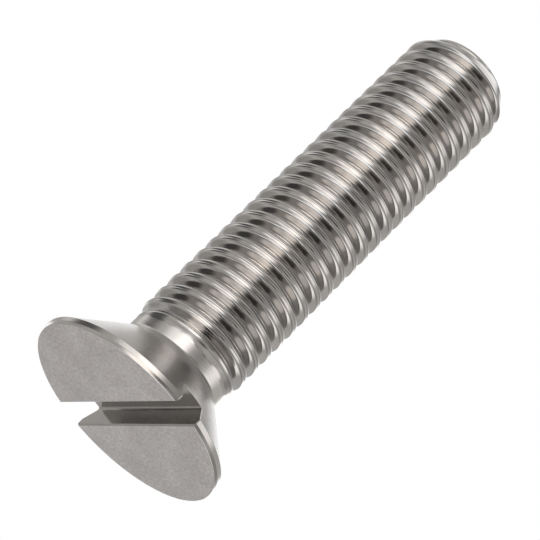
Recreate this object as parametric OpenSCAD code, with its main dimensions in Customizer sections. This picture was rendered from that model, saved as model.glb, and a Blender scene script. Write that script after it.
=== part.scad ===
// Slotted countersunk screw with a full-length rolled metric thread.
// It stands on its flat head: the middle of the head's face is the origin,
// the shank points up along Z and the driver slot runs along X.
// All sizes are in millimetres.

/* [Head] */
// Widest diameter of the head
head_d = 14.6; // [12:0.5:18]
// Height of the straight band round the head
rim_h = 0.55; // [0.3:0.05:1]
// Full angle of the cone below the head
cone_angle = 90; // [80:1:100]
// Radius of the rounded edge between face and band
face_edge_r = 0.12; // [0.05:0.01:0.2]
// Radius of the small edge between band and cone
band_edge_r = 0.06; // [0.03:0.01:0.1]

/* [Driver slot] */
// Width of the slot between its walls
slot_w = 1.8; // [1.2:0.1:2.5]
// Depth of the slot from the face
slot_depth = 1.55; // [1:0.05:2]
// Width of the fine bevel along the slot's edges
slot_bevel = 0.06; // [0.02:0.01:0.12]
// Radius of the corners along the slot's floor
slot_floor_r = 0.18; // [0.05:0.01:0.4]

/* [Neck] */
// How far the plain neck lies below the top of the thread
neck_step = 0.25; // [0.15:0.05:0.5]
// Length of the plain neck between cone and thread
neck_h = 0.8; // [0.5:0.1:3]
// Radius of the hollow between cone and neck
neck_hollow_r = 0.25; // [0.1:0.05:0.5]

/* [Thread] */
// Outside diameter of the thread
thread_d = 8; // [6:0.5:10]
// Distance from one turn of the thread to the next
pitch = 1.25; // [1:0.05:1.5]
// Depth of the thread as a share of the pitch
depth_share = 0.5; // [0.4:0.01:0.65]
// Width of the rounded top of a turn as a share of the pitch
crest_share = 0.32; // [0.15:0.01:0.36]
// How far the shoulders of a turn lie below its top as a share of the pitch
shoulder_share = 0.03; // [0.01:0.01:0.1]
// Width of the rounded bottom between two turns as a share of the pitch
root_share = 0.14; // [0.1:0.01:0.3]
// Height over which the thread grows out of the neck
runout_h = 1.6; // [0.8:0.1:3]
// Height of the first whole turn on the side that one end of the slot faces
first_turn = 5.42; // [5:0.01:6.2]

/* [Tip] */
// Overall length from the face of the head to the tip
length = 35; // [20:1:40]
// How far the edge of the flat tip lies within the top of the thread
tip_inset = 0.8; // [0.4:0.05:1.2]
// Height over which the thread is cut back towards the tip
tip_bevel_h = 1.2; // [0.5:0.05:2.5]

/* [Hidden] */

steel = [0.64, 0.62, 0.61];

// smoothness of the round surfaces and of the thread
round_steps = 72;
thread_steps = 36;
arc_steps = 4;

head_r = head_d / 2;
thread_r = thread_d / 2;
neck_r = thread_r - neck_step;
tip_r = thread_r - tip_inset;
root_r = thread_r - pitch * depth_share;
cone_run = head_r - neck_r;
cone_h = cone_run / tan(cone_angle / 2);
cone_end = rim_h + cone_h;
neck_end = cone_end + neck_h;
slack = 1;
// how deep the foot of the threaded shank sits inside the neck, and how far within its wall
foot_sink = 0.3;
foot_step = 0.02;

// points on an arc round the centre c, from angle a to angle b
function arc(c, r, a, b, steps) =
    [for (i = [0 : steps]) let (t = a + (b - a) * i / steps) c + r * [cos(t), sin(t)]];

// the same curve between 0 and 1 that starts and ends gently
function ease(x) = let (t = min(1, max(0, x))) t * t * (3 - 2 * t);

// one turn of the thread, from the foot of one flank over the next crest: height of each row
// above the last crest's middle, in pitches, and its radius
shoulder_r = thread_r - shoulder_share * pitch;
turn_rows = [
    [0.5 - root_share / 2, root_r],
    [0.5 + root_share / 2, root_r],
    [1 - crest_share / 2, shoulder_r],
    [1, thread_r],
    [1 + crest_share / 2, shoulder_r],
];
rows = len(turn_rows);

// height and plain radius of row k in column j; a column is one step round the axis
function row_z(j, k) =
    let (turn = floor(k / rows), row = turn_rows[k - turn * rows])
    first_turn + pitch * (turn + row[0] + j / thread_steps);
function row_r(k) = turn_rows[k - floor(k / rows) * rows][1];

// the thread grows out of the neck and is cut back by the bevel of the tip
function grown(r, z) = neck_r + (r - neck_r) * ease((z - neck_end) / runout_h);
function bevel_r(z) = tip_r + (length - z) * (thread_r - tip_r) / tip_bevel_h;
function surface_r(k, z) = min(grown(row_r(k), z), bevel_r(z));

// first and last row of column j that lie well inside the threaded length
clear_z = pitch * 0.05;
low_row = -rows * (ceil((first_turn - neck_end) / pitch) + 3);
high_row = rows * (ceil((length - first_turn) / pitch) + 2);
function first_row(j, k = low_row) = row_z(j, k) > neck_end + clear_z ? k : first_row(j, k + 1);
function last_row(j, k = high_row) = row_z(j, k) < length - clear_z ? k : last_row(j, k - 1);

firsts = [for (j = [0 : thread_steps - 1]) first_row(j)];
lasts = [for (j = [0 : thread_steps - 1]) last_row(j)];

// where each column starts in the list of points
function starts(j = 0, from = 0) =
    j == thread_steps ? [] : concat([from], starts(j + 1, from + lasts[j] - firsts[j] + 3));
column_start = starts();

function around(j, r, z) = let (a = 360 * j / thread_steps) [r * cos(a), r * sin(a), z];

thread_points = [
    for (j = [0 : thread_steps - 1])
        for (k = [firsts[j] - 1 : lasts[j] + 1])
            k < firsts[j] ? around(j, neck_r - foot_step, neck_end - foot_sink)
            : k > lasts[j] ? around(j, tip_r, length)
            : let (z = row_z(j, k)) around(j, surface_r(k, z), z)
];

// places in the list: the last column runs on into the first, one turn further up
function wrap(j) = j == thread_steps ? 0 : j;
function turned(j, k) = j == thread_steps ? k + rows : k;
function low_of(j) = j == thread_steps ? firsts[0] - rows : firsts[j];
function high_of(j) = j == thread_steps ? lasts[0] - rows : lasts[j];
function spot(j, k) = column_start[wrap(j)] + turned(j, k) - firsts[wrap(j)] + 1;
function foot(j) = column_start[wrap(j)];
function top(j) = column_start[wrap(j)] + lasts[wrap(j)] - firsts[wrap(j)] + 2;

side_faces = [
    for (j = [0 : thread_steps - 1])
        for (k = [max(low_of(j), low_of(j + 1)) : min(high_of(j), high_of(j + 1)) - 1])
            each [
                [spot(j, k), spot(j + 1, k + 1), spot(j + 1, k)],
                [spot(j, k), spot(j, k + 1), spot(j + 1, k + 1)]
            ]
];

foot_faces = [
    for (j = [0 : thread_steps - 1])
        let (a = low_of(j), b = low_of(j + 1))
            each concat(
                [[foot(j), spot(j + 1, b), foot(j + 1)]],
                [for (k = [b : 1 : a - 1]) [foot(j), spot(j + 1, k + 1), spot(j + 1, k)]],
                [[foot(j), spot(j, a), spot(j + 1, a)]]
            )
];

top_faces = [
    for (j = [0 : thread_steps - 1])
        let (a = high_of(j), b = high_of(j + 1))
            each concat(
                [[top(j + 1), spot(j + 1, b), spot(j, b)]],
                [for (k = [b : 1 : a - 1]) [top(j + 1), spot(j, k), spot(j, k + 1)]],
                [[top(j + 1), spot(j, a), top(j)]]
            )
];

end_faces = [
    [for (j = [0 : thread_steps - 1]) foot(j)],
    [for (j = [thread_steps - 1 : -1 : 0]) top(j)]
];

// outline of head and neck, turned round the axis
half_cone = cone_angle / 2;
hollow_back = neck_hollow_r * tan(half_cone / 2);
band_back = band_edge_r * tan((90 - half_cone) / 2);
head_outline = concat(
    [[0, 0]],
    arc([head_r - face_edge_r, face_edge_r], face_edge_r, -90, 0, arc_steps),
    arc([head_r - band_edge_r, rim_h - band_back], band_edge_r, 0, 90 - half_cone, arc_steps - 2),
    arc([neck_r + neck_hollow_r, cone_end + hollow_back], neck_hollow_r, 270 - half_cone, 180, arc_steps),
    [[neck_r, neck_end], [0, neck_end]]
);

// outline of one half of the slot, from the mouth to the middle of the floor
slot_half = concat(
    [[slot_w / 2 + slot_bevel, -slack], [slot_w / 2 + slot_bevel, 0], [slot_w / 2, slot_bevel]],
    arc([slot_w / 2 - slot_floor_r, slot_depth - slot_floor_r], slot_floor_r, 0, 90, arc_steps)
);
slot_outline = concat(
    slot_half,
    [for (i = [len(slot_half) - 1 : -1 : 0]) [-slot_half[i][0], slot_half[i][1]]]
);

// head and neck as one turned blank
module blank() {
    color(steel)
        rotate_extrude($fn = round_steps)
            polygon(head_outline);
}

// the straight slot across the face
module slot() {
    color(steel)
        rotate([90, 0, 90])
            linear_extrude(height = head_d + 2 * slack, center = true)
                polygon(slot_outline);
}

// the threaded shank, down to the bevelled tip
module thread() {
    color(steel)
        polyhedron(points = thread_points, faces = concat(side_faces, foot_faces, top_faces, end_faces));
}

module screw() {
    union() {
        difference() {
            blank();
            slot();
        }
        thread();
    }
}

screw();
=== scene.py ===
"""Slotted countersunk screw, standing on its flat head: dressed model, studio and camera."""
import math

import bmesh
import bpy
import numpy as np
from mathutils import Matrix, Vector


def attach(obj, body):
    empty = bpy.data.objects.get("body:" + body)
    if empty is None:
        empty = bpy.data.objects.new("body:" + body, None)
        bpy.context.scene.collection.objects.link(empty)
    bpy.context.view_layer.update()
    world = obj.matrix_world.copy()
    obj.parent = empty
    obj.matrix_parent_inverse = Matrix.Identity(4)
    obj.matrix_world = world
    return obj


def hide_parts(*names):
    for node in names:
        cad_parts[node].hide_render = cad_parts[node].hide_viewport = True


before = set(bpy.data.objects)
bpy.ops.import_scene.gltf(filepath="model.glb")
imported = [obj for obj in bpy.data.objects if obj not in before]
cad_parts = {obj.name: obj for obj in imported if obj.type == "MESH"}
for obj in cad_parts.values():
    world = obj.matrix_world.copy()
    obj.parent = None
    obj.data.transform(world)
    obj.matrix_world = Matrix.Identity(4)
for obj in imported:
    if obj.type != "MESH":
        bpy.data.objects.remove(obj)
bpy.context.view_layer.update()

MM = 0.001

# ---- sizes in millimetres, the same as in the part's source ----
HEAD_R, RIM_H, BAND_EDGE = 7.3, 0.55, 0.06
SLOT_HALF, SLOT_DEPTH, SLOT_FLOOR = 0.9, 1.55, 0.18
NECK_R, NECK_H, HOLLOW = 3.75, 0.8, 0.25
THREAD_R, PITCH, DEPTH = 4.0, 1.25, 0.625
RUNOUT, FIRST_TURN = 1.6, 5.42
LENGTH, TIP_R, TIP_BEVEL_H = 35.0, 3.2, 1.2
CONE_END = RIM_H + HEAD_R - NECK_R
NECK_END = CONE_END + NECK_H

# ---- edges that differ a little from the part's source, in millimetres ----
FACE_SLOPE, FACE_CUT = 22.5, 0.19   # the cut at the face's edge: degrees from the axis, and its end
FACE_EDGE = 0.05                    # radius of the rounds above and below that cut
SLOT_BEVEL = 0.10                   # width of the bevel along the slot's mouth
TIP_EDGE = 0.09                     # radius of the edge round the flat tip
BEVEL_TOP = LENGTH - TIP_EDGE       # where the tip's bevel runs into that edge

# ---- the thread's profile, finer than in the source; places in pitches from a crest's middle ----
CREST_EDGE, ROOT_EDGE = 0.225, 0.47     # where the flank meets crest and root
CREST_ROUND, ROOT_ROUND = 0.20, 0.08    # width of the rounding there, as a share of the depth
LEAN = 0.04                             # how far the rolled crest leans towards the head
CROWN = 0.035                           # how far the crest's edges lie below its middle, in mm
FALL, FALL_FROM, FALL_RUN = 0.04, 0.05, 0.17    # the crest's fall towards the tip: mm, place, run
SEAM = 0.015                            # depth of the fold seam in the crest, in mm
SEAM_AT, SEAM_HALF, SEAM_SIDE = -0.04, 0.07, 0.05   # the seam's middle, half width and side
RIB = 0.002                             # height of the ribs in the seam, in mm
RIB_RATE, RIB_SLANT = 7.3, 50           # how the ribs run along the axis and lean, radians a pitch
RIB_SWING, RIB_SWING_RATE = 2.1, 3.1    # how far and how quickly they crowd and spread
TIP_ROUND = 0.05                        # rounding where the tip's bevel cuts the turns, in mm

# ---- how finely the surface is divided ----
ARC_STEPS = 52                      # columns along each half of the head
GAP_STEPS = 4                       # columns across each end of the slot
COLUMNS = 2 * (ARC_STEPS + GAP_STEPS)
TURNS = np.arange(-4, 32)           # turns that are tried, counted from the first whole one
ROW_CLEARANCE = 0.012               # least distance of a row from the thread's two ends, in mm

HALF_CONE = 45                      # half of the head's cone angle, in degrees
CORNER = math.tan(math.radians(HALF_CONE / 2))  # how far a round reaches back from its corner

# materials of the surface, by their place in its list
FACE, TURNED, THREAD, SLOT = range(4)


def ease(x):
    """Grows from 0 to 1 with a gentle start and end."""
    t = np.clip(x, 0, 1)
    return t * t * (3 - 2 * t)


def smooth_min(a, b, k):
    """The smaller of two values, with the corner between them rounded over the width k."""
    return np.minimum(a, b) - np.clip(k - np.abs(a - b), 0, None) ** 2 / (4 * k)


def outline(z, r):
    """Heights z and radii r side by side; a single number stands for every level."""
    return np.stack(np.broadcast_arrays(z, r), 1)


def slot_half_width(z):
    """Half the slot's width at depth z: widest at the bevelled mouth, straight down the wall, then
    a quarter round."""
    low = SLOT_DEPTH - SLOT_FLOOR
    mouth = SLOT_HALF + np.clip(SLOT_BEVEL - z, 0, None)
    below = np.clip(z - low, 0, None)
    round_in = SLOT_FLOOR - np.sqrt(np.clip(SLOT_FLOOR ** 2 - below ** 2, 0, None))
    return mouth - round_in


def slotted_levels():
    """Heights and radii of the head's outline from the face down to the slot's floor: a small
    round, a steep cut that leans in towards the face, a round again into the band, the band, its
    round into the cone, and the cone."""
    slope = math.radians(FACE_SLOPE)
    a = np.linspace(math.pi / 2, slope, 8)
    small = outline(FACE_EDGE * (1 - np.sin(a)), FACE_EDGE * np.cos(a))
    cut_z = np.array([SLOT_BEVEL, FACE_CUT])
    cut = outline(cut_z, small[-1, 1] + (cut_z - small[-1, 0]) * math.tan(slope))
    b = np.linspace(slope, 0, 4)[1:]
    last = outline(FACE_CUT + FACE_EDGE * (math.sin(slope) - np.sin(b)),
                   cut[-1, 1] + FACE_EDGE * (np.cos(b) - math.cos(slope)))
    edge = np.concatenate([small, cut, last])
    edge[:, 1] += HEAD_R - edge[-1, 1]
    band = outline([0.30, 0.40, 0.505], HEAD_R)
    t = np.radians(np.linspace(0, HALF_CONE, 5))
    turn = outline(RIM_H - BAND_EDGE * CORNER + BAND_EDGE * np.sin(t),
                   HEAD_R - BAND_EDGE + BAND_EDGE * np.cos(t))
    floor_round = np.radians(np.arange(0, 91, 15))
    cone_z = np.concatenate([[0.6, 0.75, 0.95, 1.15],
                             SLOT_DEPTH - SLOT_FLOOR + SLOT_FLOOR * np.sin(floor_round)])
    cone = outline(cone_z, HEAD_R + RIM_H - cone_z)
    return np.concatenate([edge, band, turn, cone])


def lower_levels():
    """Heights and radii below the slot: the rest of the cone, the hollow under it, the neck."""
    t = np.radians(np.linspace(180 + HALF_CONE, 180, 9))
    hollow = outline(CONE_END + HOLLOW * CORNER + HOLLOW * np.sin(t),
                     NECK_R + HOLLOW + HOLLOW * np.cos(t))
    cone_z = np.linspace(SLOT_DEPTH, hollow[0, 0], 9)[1:-1]
    cone = outline(cone_z, HEAD_R + RIM_H - cone_z)
    neck = outline([4.3, 4.5, 4.7, NECK_END], NECK_R)
    return np.concatenate([cone, hollow, neck])


def thread_radius(turns, z):
    """Radius of the thread. turns counts pitches from a crest along the helix, z is the height.
    Straight flanks run between a narrow root and a broad crest and are rounded into both. The
    crest falls off with the square of the distance from its middle, and once more towards the
    tip. Rolling leaves a shallow seam in it, with faint ribs that come and go along the helix.
    The whole profile grows out of the neck, and the tip's bevel cuts it back."""
    s = turns + LEAN - np.round(turns + LEAN)
    flank = (ROOT_EDGE - np.abs(s)) / (ROOT_EDGE - CREST_EDGE)
    flank = smooth_min(flank, 1.0, CREST_ROUND)
    flank = -smooth_min(-flank, 0.0, ROOT_ROUND)
    along = (z - FIRST_TURN) / PITCH
    swing = RIB_SWING * np.sin(RIB_SWING_RATE * along)
    ribs = np.sin(RIB_RATE * along + swing + RIB_SLANT * s)
    seam = ease((SEAM_HALF - np.abs(s - SEAM_AT)) / SEAM_SIDE) * (SEAM + RIB * ribs)
    fall = FALL * ease((s - FALL_FROM) / FALL_RUN)
    crown = CROWN * np.clip(np.abs(s) / CREST_EDGE, 0, 1) ** 2
    r = THREAD_R - DEPTH + DEPTH * flank - seam - (fall + crown) * np.clip(flank, 0, 1)
    r = NECK_R + (r - NECK_R) * ease((z - NECK_END) / RUNOUT)
    bevel = TIP_R + (LENGTH - z) * (THREAD_R - TIP_R) / TIP_BEVEL_H
    return smooth_min(r, bevel, TIP_ROUND)


def row_fractions():
    """Where the rows lie within one pitch, from one root to the next: close together over the
    crest and its edges."""
    return np.concatenate([np.linspace(-0.54, -0.49, 3), [-0.40, -0.31],
                           np.linspace(-0.27, -0.02, 13), np.linspace(0.02, 0.21, 8),
                           [0.26, 0.34, 0.42]])


def closed(index):
    """An array of vertex numbers with its first column again at the end."""
    return np.concatenate([index, index[..., :1]], -1)


def grid_faces(index, flip=False):
    """Quads between neighbouring rows and columns of an array of vertex numbers."""
    a, b, c, d = index[:-1, :-1], index[:-1, 1:], index[1:, 1:], index[1:, :-1]
    order = (a, d, c, b) if flip else (a, b, c, d)
    return np.stack([o.ravel() for o in order], 1)


class Surface:
    """A surface as it grows: vertices, faces with their material, and the lines that stay sharp."""

    def __init__(self):
        self.points, self.faces, self.sharp = [], [], []
        self.count = 0

    def add(self, x, y, z):
        """Adds the vertices of three arrays and returns their numbers in the same shape."""
        points = np.stack(np.broadcast_arrays(x, y, z), -1)
        numbers = self.count + np.arange(points[..., 0].size).reshape(points.shape[:-1])
        self.points.append(points.reshape(-1, 3))
        self.count += numbers.size
        return numbers

    def ring(self, height, radius, theta):
        """Adds a level ring of vertices in the directions theta."""
        return self.add(radius * np.cos(theta), radius * np.sin(theta), height)

    def put(self, faces, material, smooth=True):
        """Adds faces, each a row of vertex numbers."""
        self.faces.append(([list(map(int, f)) for f in faces], material, smooth))


def add_slotted_head(surface):
    """The head beside the slot. On each side, every level has an arc of the outline, and a wall of
    the slot runs straight between the arc's ends. Returns the arcs, the walls, and the last
    level's radius and the angle there between the slot's middle and its wall."""
    z, r = np.split(slotted_levels(), 2, axis=1)
    w = slot_half_width(z)
    start = np.arcsin(w / r)
    share = np.arange(ARC_STEPS + 1) / ARC_STEPS
    angle = start + (math.pi - 2 * start) * share
    bevel_foot = np.argmin(np.abs(z - SLOT_BEVEL))
    arcs, walls = [], []
    for side in (1, -1):
        x, y = side * r * np.cos(angle), side * r * np.sin(angle)
        arc = surface.add(x, y, z)
        wall = arc.copy()
        wall[:, 1:-1] = surface.add(x[:, 1:-1], side * w, z)
        surface.put(grid_faces(arc), TURNED)
        surface.put(grid_faces(wall, flip=True), SLOT)
        surface.put([np.concatenate([wall[0], arc[0, -2:0:-1]])], FACE, smooth=False)
        surface.sharp += [arc[:, 0], arc[:, -1], wall[bevel_foot], wall[0], arc[0]]
        arcs.append(arc)
        walls.append(wall)
    return arcs, walls, r[-1, 0], start[-1, 0]


def add_slot_floor(surface, arcs, walls, radius, half_gap):
    """The slot's flat floor. Its ends close the head's ring at that depth, which is returned."""
    gaps = []
    for middle in (math.pi, 2 * math.pi):
        a = middle - half_gap + 2 * half_gap * np.arange(1, GAP_STEPS) / GAP_STEPS
        gaps.append(surface.ring(SLOT_DEPTH, radius, a))
    floor = np.concatenate([walls[0][-1], gaps[0], walls[1][-1], gaps[1]])
    surface.put([floor[::-1]], SLOT, smooth=False)
    surface.sharp += [np.r_[arcs[0][-1, -1], gaps[0], arcs[1][-1, 0]],
                      np.r_[arcs[1][-1, -1], gaps[1], arcs[0][-1, 0]]]
    return np.concatenate([arcs[0][-1], gaps[0], arcs[1][-1], gaps[1]])


def add_thread_columns(surface, theta):
    """The thread's vertices: every row follows the helix, and each column keeps its rows between
    neck and tip. Gives each column's first and last row and its vertices; the first column comes
    again at the end, one turn further up."""
    part = row_fractions()
    turns = (TURNS[:, None] + part).ravel()
    columns = []
    for a in theta:
        z = FIRST_TURN + PITCH * (turns + a / (2 * math.pi))
        keep = np.flatnonzero((z > NECK_END + ROW_CLEARANCE) & (z < BEVEL_TOP - ROW_CLEARANCE))
        r = thread_radius(turns[keep], z[keep])
        columns.append((keep[0], keep[-1], surface.add(r * math.cos(a), r * math.sin(a), z[keep])))
    low, high, index = columns[0]
    columns.append((low - len(part), high - len(part), index))
    return columns


def add_tip(surface, theta):
    """The tip's edge, a quarter round in rings, and its flat end. Returns the first ring."""
    bevel_end = TIP_R + TIP_EDGE * (THREAD_R - TIP_R) / TIP_BEVEL_H
    rings = closed(np.array([
        surface.ring(BEVEL_TOP + TIP_EDGE * math.sin(t),
                     bevel_end - TIP_EDGE + TIP_EDGE * math.cos(t), theta)
        for t in np.radians(np.linspace(0, 90, 6))]))
    surface.put(grid_faces(rings), THREAD)
    surface.put([rings[-1, :-1]], FACE, smooth=False)
    return rings[0]


def join_columns(surface, columns, foot, top):
    """The thread's faces: quads between neighbouring columns, down to the ring foot and up to the
    ring top. Where one column has more rows than the next, triangles fill the step."""
    for j in range(COLUMNS):
        (low, high, left), (low_next, high_next, right) = columns[j], columns[j + 1]
        k = np.arange(max(low, low_next), min(high, high_next))
        surface.put(np.stack([left[k - low], right[k - low_next], right[k - low_next + 1],
                              left[k - low + 1]], 1), THREAD)
        if low == low_next:
            ends = [[foot[j], foot[j + 1], right[0], left[0]]]
        else:
            ends = [[foot[j], foot[j + 1], right[0]]]
            ends += [[foot[j], right[m], right[m + 1]] for m in range(low - low_next)]
            ends += [[foot[j], right[low - low_next], left[0]]]
        if high == high_next:
            ends += [[left[-1], right[-1], top[j + 1], top[j]]]
        else:
            ends += [[left[high_next - low], right[-1], top[j + 1]]]
            ends += [[left[m], top[j + 1], left[m + 1]] for m in range(high_next - low, high - low)]
            ends += [[left[-1], top[j + 1], top[j]]]
        surface.put(ends, THREAD)


def screw_surface():
    """The whole screw as one closed surface, from the face of the head to the flat tip."""
    surface = Surface()
    ring = add_slot_floor(surface, *add_slotted_head(surface))
    points = np.concatenate(surface.points)[ring]
    theta = np.unwrap(np.arctan2(points[:, 1], points[:, 0]))
    rings = [surface.ring(height, radius, theta) for height, radius in lower_levels()]
    rings = closed(np.array([ring] + rings))
    surface.put(grid_faces(rings), TURNED)
    columns = add_thread_columns(surface, theta)
    top = add_tip(surface, theta)
    join_columns(surface, columns, rings[-1], top)
    return surface


def edge_keys(pairs):
    """One number for each pair of vertex numbers, whichever of the two comes first."""
    return np.sort(pairs, 1).astype(np.int64) @ [1 << 32, 1]


def make_screw(materials):
    """Builds the mesh object from the surface, with its materials, smooth faces and sharp lines."""
    surface = screw_surface()
    faces = [f for group, _, _ in surface.faces for f in group]
    slots = np.concatenate([np.full(len(group), m) for group, m, _ in surface.faces])
    smooth = np.concatenate([np.full(len(group), s) for group, _, s in surface.faces])
    mesh = bpy.data.meshes.new("screw_surface")
    mesh.from_pydata(np.concatenate(surface.points) * MM, [], faces)
    for m in materials:
        mesh.materials.append(m)
    mesh.polygons.foreach_set("material_index", slots.astype(np.int32))
    mesh.polygons.foreach_set("use_smooth", smooth)
    ends = np.empty(len(mesh.edges) * 2, np.int32)
    mesh.edges.foreach_get("vertices", ends)
    lines = np.concatenate([np.stack([line[:-1], line[1:]], 1) for line in surface.sharp])
    mark = mesh.attributes.new("sharp_edge", "BOOLEAN", "EDGE")
    mark.data.foreach_set("value", np.isin(edge_keys(ends.reshape(-1, 2)), edge_keys(lines)))
    mesh.validate()
    mesh.update()
    obj = bpy.data.objects.new("screw_body", mesh)
    bpy.context.scene.collection.objects.link(obj)
    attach(obj, "root")
    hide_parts("screw")


# ---- small helpers for shader nodes ----
NOISE_SPAN, NOISE_CORE = (0.25, 0.75), (0.3, 0.7)   # where nearly all, or most, noise values lie


def add_node(tree, kind, inputs=None, **settings):
    """Adds a shader node, sets it up, and gives each named input a value or a link."""
    node = tree.nodes.new("ShaderNode" + kind)
    for name, value in settings.items():
        setattr(node, name, value)
    for name, value in (inputs or {}).items():
        if isinstance(value, bpy.types.NodeSocket):
            tree.links.new(value, node.inputs[name])
        else:
            node.inputs[name].default_value = value
    return node


def maths(tree, operation, *values, clamp=False):
    """One Math node, and the value that it gives."""
    node = add_node(tree, "Math", dict(enumerate(values)), operation=operation, use_clamp=clamp)
    return node.outputs[0]


def scaled(tree, vector, factor):
    """A vector or a colour times a number."""
    node = add_node(tree, "VectorMath", {0: vector, "Scale": factor}, operation="SCALE")
    return node.outputs[0]


def parts(tree, vector):
    """The three parts of a vector."""
    return add_node(tree, "SeparateXYZ", {0: vector}).outputs


def vector_of(tree, *values):
    """A vector made of up to three parts."""
    return add_node(tree, "CombineXYZ", dict(enumerate(values))).outputs[0]


def remap(tree, value, old, new, smooth=False):
    """Carries a value from the old range to the new one and stops it at the ends."""
    node = add_node(tree, "MapRange", {"Value": value, "From Min": old[0], "From Max": old[1],
                                       "To Min": new[0], "To Max": new[1]},
                    interpolation_type="SMOOTHSTEP" if smooth else "LINEAR")
    return node.outputs["Result"]


def mixed_colour(tree, factor, a, b):
    """Colour a, and colour b where the factor is 1; 6, 7 and 2 are the node's colour sockets."""
    node = add_node(tree, "Mix", {"Factor": factor, 6: a, 7: b}, data_type="RGBA")
    return node.outputs[2]


def noise(tree, place, scale=1.0, detail=3.0, roughness=0.65):
    """The value of a noise texture at the given place."""
    node = add_node(tree, "TexNoise", {"Vector": place, "Scale": scale, "Detail": detail,
                                       "Roughness": roughness})
    return node.outputs["Fac"]


def new_group(name, inputs, outputs):
    """A shader node group with named sockets; returns the group, its inputs and its outputs."""
    tree = bpy.data.node_groups.new(name, "ShaderNodeTree")
    for in_out, sockets in (("INPUT", inputs), ("OUTPUT", outputs)):
        for label, (kind, *value) in sockets.items():
            socket = tree.interface.new_socket(label, in_out=in_out,
                                               socket_type="NodeSocket" + kind)
            if value:
                socket.default_value = value[0]
    given = tree.nodes.new("NodeGroupInput").outputs
    return tree, given, tree.nodes.new("NodeGroupOutput").inputs


def use_group(tree, group, **inputs):
    """Places a group in a material; an underscore in an input's name stands for a space."""
    node = tree.nodes.new("ShaderNodeGroup")
    node.node_tree = group
    for name, value in inputs.items():
        socket = node.inputs[name.replace("_", " ")]
        if isinstance(value, bpy.types.NodeSocket):
            tree.links.new(value, socket)
        else:
            socket.default_value = value
    return node.outputs


# ---- effects that the finishes share ----
COOL = (0.476, 0.466, 0.460, 1)
WARM = (0.55, 0.526, 0.505, 1)


def place_on_screw():
    """Where a point lies, in millimetres: itself, its radius and height, the direction round the
    axis, and the cosine and sine of its place between two crests of the thread (cosine 1 on a
    crest, -1 in a root)."""
    tree, _, out = new_group("place_on_screw", {}, {
        "Point": ("Vector",), "Radius": ("Float",), "Height": ("Float",), "Around": ("Vector",),
        "Crest": ("Float",), "Flank": ("Float",)})
    coords = tree.nodes.new("ShaderNodeTexCoord").outputs["Object"]
    point = scaled(tree, coords, 1 / MM)
    x, y, z = parts(tree, point)
    flat = vector_of(tree, x, y)
    radius = add_node(tree, "VectorMath", {0: flat}, operation="LENGTH").outputs["Value"]
    around = add_node(tree, "VectorMath", {0: flat}, operation="NORMALIZE").outputs[0]
    climbed = maths(tree, "MULTIPLY", maths(tree, "SUBTRACT", z, FIRST_TURN), 2 * math.pi / PITCH)
    phase = maths(tree, "SUBTRACT", climbed, maths(tree, "ARCTAN2", y, x))
    for label, value in (("Point", point), ("Radius", radius), ("Height", z), ("Around", around),
                         ("Crest", maths(tree, "COSINE", phase)),
                         ("Flank", maths(tree, "SINE", phase))):
        tree.links.new(value, out[label])
    return tree


def steel_tone():
    """Steel that is a little warmer here and cooler there: broad soft patches, with a fine mottle
    over them."""
    tree, given, out = new_group("steel_tone", {
        "Point": ("Vector",), "Cool": ("Color", COOL), "Warm": ("Color", WARM),
        "Patch Size": ("Float", 3.0), "Mottle": ("Float", 0.04), "Mottle Size": ("Float", 0.14)},
        {"Color": ("Color",)})
    sparse = maths(tree, "DIVIDE", 1.0, given["Patch Size"])
    broad = noise(tree, given["Point"], sparse, detail=2.0, roughness=0.55)
    patch = remap(tree, broad, NOISE_CORE, (0.0, 1.0), smooth=True)
    dense = maths(tree, "DIVIDE", 1.0, given["Mottle Size"])
    fine = noise(tree, given["Point"], dense, roughness=0.6)
    swing = maths(tree, "MULTIPLY", maths(tree, "SUBTRACT", fine, 0.5), given["Mottle"])
    level = maths(tree, "ADD", 1.0, maths(tree, "MULTIPLY", swing, 2.0))
    colour = mixed_colour(tree, patch, given["Cool"], given["Warm"])
    tree.links.new(scaled(tree, colour, level), out["Color"])
    return tree


def fine_grain():
    """The even grain of tumbled steel: small dimples over slightly larger ones, no direction."""
    tree, given, out = new_group("fine_grain", {"Point": ("Vector",), "Size": ("Float", 0.08)},
                                 {"Grain": ("Float",)})
    scale = maths(tree, "DIVIDE", 1.0, given["Size"])
    tree.links.new(noise(tree, given["Point"], scale), out["Grain"])
    return tree


def lathe_rings():
    """Rings left by turning: noise that changes quickly along the axis and outwards, and slowly
    round it."""
    tree, given, out = new_group("lathe_rings", {
        "Along": ("Float",), "Around": ("Vector",), "Spacing": ("Float", 0.06),
        "Drift": ("Float", 0.5)}, {"Rings": ("Float",)})
    x, y, _ = parts(tree, scaled(tree, given["Around"], given["Drift"]))
    step = maths(tree, "DIVIDE", given["Along"], given["Spacing"])
    tree.links.new(noise(tree, vector_of(tree, x, y, step), roughness=0.7), out["Rings"])
    return tree


def rolled_streaks():
    """Streaks that run along the thread: noise on the place between two crests, drawn out round
    the screw."""
    tree, given, out = new_group("rolled_streaks", {
        "Crest": ("Float",), "Flank": ("Float",), "Around": ("Vector",), "Height": ("Float",),
        "Fineness": ("Float", 6.0), "Drift": ("Float", 1.0), "Climb": ("Float", 0.35)},
        {"Streaks": ("Float",)})
    x, y, _ = parts(tree, scaled(tree, given["Around"], given["Drift"]))
    crest = maths(tree, "MULTIPLY", given["Crest"], given["Fineness"])
    flank = maths(tree, "MULTIPLY", given["Flank"], given["Fineness"])
    place = vector_of(tree, maths(tree, "ADD", crest, x), maths(tree, "ADD", flank, y),
                      maths(tree, "MULTIPLY", given["Height"], given["Climb"]))
    tree.links.new(noise(tree, place), out["Streaks"])
    return tree


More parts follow.
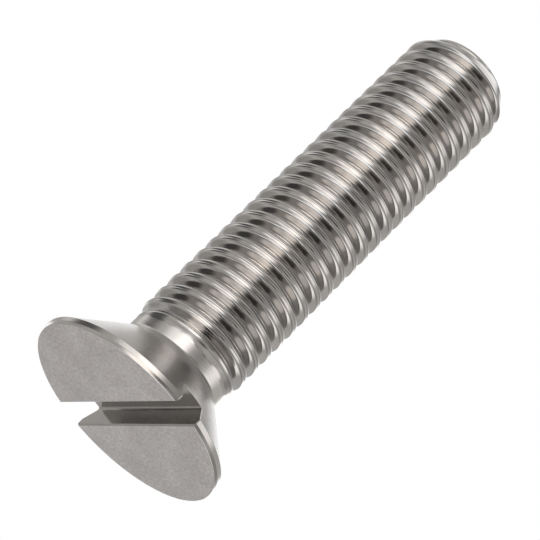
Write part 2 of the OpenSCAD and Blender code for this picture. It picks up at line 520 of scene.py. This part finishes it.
# ---- finishes ----
def steel_material(name):
    """An empty metal material: its node tree and its shader's inputs."""
    material = bpy.data.materials.new(name)
    material.use_nodes = True
    tree = material.node_tree
    shader = tree.nodes["Principled BSDF"].inputs
    shader["Metallic"].default_value = 1.0
    return material, tree, shader


def finish_steel(tree, shader, colour, roughness, height, depth):
    """Joins colour, roughness and a bump of the given depth in millimetres to the shader."""
    tree.links.new(colour, shader["Base Color"])
    tree.links.new(roughness, shader["Roughness"])
    bump = add_node(tree, "Bump", {"Height": height, "Strength": 1.0, "Distance": depth * MM})
    tree.links.new(bump.outputs[0], shader["Normal"])


def satin_face(groups):
    """The driven face and the flat tip: cloudy satin steel with an even fine grain."""
    material, tree, shader = steel_material("steel_satin_face")
    place = use_group(tree, groups["place"])
    tone = use_group(tree, groups["tone"], Point=place["Point"], Cool=(0.475, 0.447, 0.439, 1),
                     Warm=(0.555, 0.526, 0.517, 1), Mottle=0.46, Mottle_Size=0.24)
    grain = use_group(tree, groups["grain"], Point=place["Point"], Size=0.16)["Grain"]
    roughness = remap(tree, grain, NOISE_CORE, (0.34, 0.48))
    finish_steel(tree, shader, tone["Color"], roughness, grain, depth=0.014)
    return material


def turned_steel(groups):
    """The head's edge, cone and neck: turned, with fine rings round the axis. The neck is duller
    and paler, and the surface bends over where it meets the slot, as a broken edge does."""
    material, tree, shader = steel_material("steel_turned")
    place = use_group(tree, groups["place"])
    tone = use_group(tree, groups["tone"], Point=place["Point"], Mottle=0.03)
    along = maths(tree, "SUBTRACT", place["Radius"], place["Height"])
    rings = use_group(tree, groups["rings"], Along=along, Around=place["Around"], Spacing=0.05,
                      Drift=0.6)["Rings"]
    grain = use_group(tree, groups["grain"], Point=place["Point"], Size=0.09)["Grain"]
    blend, duller, paler, grain_share = 0.1, 0.09, 0.16, 0.35
    neck = remap(tree, place["Height"], (CONE_END - blend, CONE_END + blend), (0.0, 1.0))
    plain = remap(tree, rings, NOISE_SPAN, (0.12, 0.20))
    roughness = maths(tree, "ADD", plain, maths(tree, "MULTIPLY", neck, duller))
    level = maths(tree, "ADD", 1.0, maths(tree, "MULTIPLY", neck, paler))
    edge, drop = 0.07, 5.0
    side = maths(tree, "ABSOLUTE", parts(tree, place["Point"])[1])
    beside = remap(tree, side, (SLOT_HALF, SLOT_HALF + edge), (0.0, drop))
    above = remap(tree, place["Height"], (SLOT_DEPTH, SLOT_DEPTH + edge), (0.0, drop))
    height = maths(tree, "ADD", rings, maths(tree, "MULTIPLY", grain, grain_share))
    height = maths(tree, "ADD", height, maths(tree, "MAXIMUM", beside, above))
    finish_steel(tree, shader, scaled(tree, tone["Color"], level), roughness, height, depth=0.004)
    return material


def rolled_thread(groups):
    """The thread: burnished by rolling, duller and a little darker in the seam between the lips of
    the crest, where the streaks are stronger too."""
    material, tree, shader = steel_material("steel_rolled_thread")
    place = use_group(tree, groups["place"])
    tone = use_group(tree, groups["tone"], Point=place["Point"], Patch_Size=2.2)
    streaks = use_group(tree, groups["streaks"], Crest=place["Crest"], Flank=place["Flank"],
                        Around=place["Around"], Height=place["Height"], Fineness=7.0,
                        Drift=0.8)["Streaks"]
    darker, duller, rougher, streak_depth = 0.12, 0.10, 0.15, 0.025
    seam = remap(tree, place["Crest"], (0.86, 0.96), (0.0, 1.0), smooth=True)
    level = maths(tree, "SUBTRACT", 1.0, maths(tree, "MULTIPLY", seam, darker))
    plain = remap(tree, streaks, NOISE_SPAN, (0.07, 0.11))
    roughness = maths(tree, "ADD", plain, maths(tree, "MULTIPLY", seam, duller))
    strength = maths(tree, "ADD", maths(tree, "MULTIPLY", seam, rougher), streak_depth)
    height = maths(tree, "MULTIPLY", streaks, strength)
    finish_steel(tree, shader, scaled(tree, tone["Color"], level), roughness, height, depth=0.006)
    return material


def sawn_slot(groups):
    """The slot: smooth, with faint slanting lines from the cutter; its steel is given a darker
    colour than the rest, painted shade in the recess.
    """
    material, tree, shader = steel_material("steel_sawn_slot")
    place = use_group(tree, groups["place"])
    # painted shade: these colours are darker than the rest of the steel, standing in for the shade
    # inside the slot
    tone = use_group(tree, groups["tone"], Point=place["Point"], Cool=(0.385, 0.375, 0.365, 1),
                     Warm=(0.43, 0.41, 0.39, 1), Mottle=0.06)
    turned = add_node(tree, "VectorRotate", {"Vector": place["Point"], "Axis": (0, 1, 0),
                                             "Angle": math.radians(-30)}).outputs[0]
    per_mm = (0.5, 4.0, 9.0)        # how quickly the lines change along, across and down the wall
    drawn = add_node(tree, "VectorMath", {0: turned, 1: per_mm}, operation="MULTIPLY").outputs[0]
    lines = noise(tree, drawn, roughness=0.6)
    roughness = remap(tree, lines, NOISE_SPAN, (0.10, 0.20))
    finish_steel(tree, shader, tone["Color"], roughness, lines, depth=0.003)
    return material


groups = {"place": place_on_screw(), "tone": steel_tone(), "grain": fine_grain(),
          "rings": lathe_rings(), "streaks": rolled_streaks()}
make_screw([satin_face(groups), turned_steel(groups), rolled_thread(groups), sawn_slot(groups)])


# ---- studio; lengths in metres where nothing else is said ----
CAMERA_PLACE = (123.5873, -45.8818, -52.9876)       # mm; the photograph looks up past the head
CAMERA_TURN = (125.82787, -39.19053, 45.09137)      # degrees about X, Y and Z
CAMERA_LENS = 153.33
SOFT_LIGHT = 0.75                                   # the white world's strength on dull surfaces
FLOOR_REACH, FLOOR_HEIGHT = 0.6, -0.00002
FLOOR_TONE, FLOOR_GLOW = (0.80, 0.83), 0.22
TENT_R, ROOM_LEVEL, ROOM_TINT = 0.4, 0.58, (1.02, 1.0, 0.97)

# what stands round the screw, seen from the photograph's camera: direction (right, up, towards
# the camera), half angle and softness in degrees, level of light, and how warm it is; a later
# one stands in front of an earlier one
SURROUNDINGS = {
    "backdrop behind": ((-0.10, -0.05, -1.00), 26, 8, 1.15, 0.00),
    "backdrop at the left": ((-0.50, 0.00, -0.86), 15, 7, 2.20, 0.00),
    "backdrop low down": ((0.14, -0.45, -0.88), 13, 6, 1.90, 0.00),
    "overhead window": ((0.26, 0.89, 0.36), 20, 8, 1.55, 0.03),
    "near window": ((0.36, 0.71, 0.61), 12, 6, 2.30, 0.05),
    "camera side": ((-0.15, 0.25, 0.95), 20, 8, 2.00, 0.07),
    "left of the camera": ((-0.50, -0.33, 0.80), 14, 6, 1.50, -0.06),
    "right strip": ((0.97, -0.22, 0.05), 15, 7, 1.45, 0.03),
    "lower left window": ((-0.72, -0.60, 0.35), 20, 8, 2.20, -0.02),
    "table below": ((-0.30, -0.95, 0.00), 16, 7, 1.60, 0.02),
    "left back": ((-0.72, -0.06, -0.69), 12, 5, 0.75, 0.00),
    "left wall": ((-0.90, 0.10, 0.42), 18, 8, 0.35, 0.00),
    "upper back": ((-0.30, 0.68, -0.67), 14, 6, 1.00, 0.00),
    "dark right of the front": ((0.84, 0.38, 0.38), 17, 5, 0.08, 0.04),
    "dark below the camera": ((0.35, -0.55, 0.75), 24, 8, 0.30, 0.03),
    "dark low at the back": ((-0.42, -0.62, -0.66), 16, 6, 0.60, 0.00),
    "dark at the left": ((-0.93, -0.20, -0.31), 13, 5, 0.42, 0.03),
    "dark upper left": ((-0.58, 0.79, -0.20), 17, 9, 0.13, 0.00),
    "dark right at the back": ((0.72, 0.30, -0.62), 22, 8, 0.18, 0.02),
    "dark low at the right": ((0.45, -0.85, -0.25), 20, 8, 0.35, 0.03),
    "grey high at the back": ((-0.30, 0.32, -0.90), 13, 6, 0.50, 0.02),
    "light on the tip": ((0.62, 0.38, -0.69), 13, 6, 1.35, 0.00),
    "the camera itself": ((0.08, 0.06, 0.99), 9, 3, 0.12, 0.00),
    "dark before the front": ((0.35, 0.10, 0.93), 12, 5, 0.07, 0.00),
    "sheet beside the camera": ((0.66, 0.34, 0.67), 9, 5, 0.45, 0.03),
    "sheet further right": ((0.93, 0.06, 0.36), 8, 4, 0.45, 0.03),
}


def place_camera():
    """The photograph's camera, found from the edges of the head, the slot and the thread."""
    data = bpy.data.cameras.new("photo_camera")
    data.lens = CAMERA_LENS
    data.sensor_width = 36.0
    data.clip_start, data.clip_end = 0.01, 10.0
    camera = bpy.data.objects.new("photo_camera", data)
    camera.location = [c * MM for c in CAMERA_PLACE]
    camera.rotation_euler = [math.radians(a) for a in CAMERA_TURN]
    bpy.context.scene.collection.objects.link(camera)
    bpy.context.scene.camera = camera
    return camera


def white_world():
    """White to the eye and in the metal, and a plain soft light on everything else."""
    world = bpy.data.worlds.new("studio")
    bpy.context.scene.world = world
    world.use_nodes = True
    tree = world.node_tree
    path = tree.nodes.new("ShaderNodeLightPath").outputs
    seen = maths(tree, "ADD", maths(tree, "ADD", path["Is Camera Ray"], path["Is Glossy Ray"]),
                 path["Is Transmission Ray"], clamp=True)
    background = tree.nodes["Background"].inputs
    background["Color"].default_value = (1, 1, 1, 1)
    strength = remap(tree, seen, (0.0, 1.0), (SOFT_LIGHT, 1.0))
    tree.links.new(strength, background["Strength"])


def stage_material(name):
    """A material without a shader, for the studio: itself, its node tree and its output."""
    material = bpy.data.materials.new(name)
    material.use_nodes = True
    tree = material.node_tree
    tree.nodes.remove(tree.nodes["Principled BSDF"])
    return material, tree, tree.nodes["Material Output"].inputs["Surface"]


def pale_floor():
    """The floor under the head: seen from above only, because the photograph looks up through
    where it lies."""
    material, tree, surface = stage_material("pale_floor")
    path = tree.nodes.new("ShaderNodeLightPath").outputs
    back = tree.nodes.new("ShaderNodeNewGeometry").outputs["Backfacing"]
    shown = maths(tree, "MULTIPLY", path["Is Camera Ray"], maths(tree, "SUBTRACT", 1.0, back))
    clear = tree.nodes.new("ShaderNodeBsdfTransparent").outputs[0]
    coords = tree.nodes.new("ShaderNodeTexCoord").outputs["Object"]
    share = add_node(tree, "Mapping", {"Vector": coords, "Location": (0.5, 0.5, 0.5),
                                       "Scale": [0.5 / FLOOR_REACH] * 3}).outputs[0]
    clouds = noise(tree, share, scale=60.0, detail=2.0, roughness=0.5)
    tone = remap(tree, clouds, NOISE_CORE, FLOOR_TONE)
    pale = add_node(tree, "BsdfDiffuse", {"Color": tone}).outputs[0]
    glow = add_node(tree, "Emission", {"Color": tone, "Strength": FLOOR_GLOW}).outputs[0]
    lifted = add_node(tree, "AddShader", {0: pale, 1: glow}).outputs[0]
    mixed = add_node(tree, "MixShader", {0: shown, 1: clear, 2: lifted}).outputs[0]
    tree.links.new(mixed, surface)
    mesh = bpy.data.meshes.new("floor")
    corners = [(x * FLOOR_REACH, y * FLOOR_REACH, FLOOR_HEIGHT)
               for x, y in ((-1, -1), (1, -1), (1, 1), (-1, 1))]
    mesh.from_pydata(corners, [], [(0, 1, 2, 3)])
    mesh.materials.append(material)
    sheet = bpy.data.objects.new("floor", mesh)
    bpy.context.scene.collection.objects.link(sheet)


def soft_tent(camera):
    """A closed tent round the screw, unseen itself: soft windows and dark walls that the steel
    mirrors."""
    material, tree, surface = stage_material("soft_tent")
    coords = tree.nodes.new("ShaderNodeTexCoord").outputs["Object"]
    outward = add_node(tree, "VectorMath", {0: coords}, operation="NORMALIZE").outputs[0]
    light = (*(t * ROOM_LEVEL for t in ROOM_TINT), 1)
    turn = camera.rotation_euler.to_matrix()
    for direction, half, soft, level, warmth in SURROUNDINGS.values():
        towards = turn @ Vector(direction).normalized()
        near = add_node(tree, "VectorMath", {0: outward, 1: towards}, operation="DOT_PRODUCT")
        edges = [math.cos(math.radians(half + side * soft)) for side in (1, -1)]
        cover = remap(tree, near.outputs["Value"], edges, (0.0, 1.0), smooth=True)
        colour = (level * (1 + warmth), level, level * (1 - warmth), 1)
        light = mixed_colour(tree, cover, light, colour)
    glow = add_node(tree, "Emission", {"Color": light}).outputs[0]
    tree.links.new(glow, surface)
    mesh = bpy.data.meshes.new("card_tent")
    shell = bmesh.new()
    bmesh.ops.create_icosphere(shell, subdivisions=4, radius=TENT_R)
    shell.to_mesh(mesh)
    shell.free()
    mesh.materials.append(material)
    tent = bpy.data.objects.new("card_tent", mesh)
    tent.location = (0, 0, 0.5 * LENGTH * MM)
    tent.visible_camera = False
    bpy.context.scene.collection.objects.link(tent)


bpy.context.scene.view_settings.view_transform = "Standard"
white_world()
pale_floor()
soft_tent(place_camera())
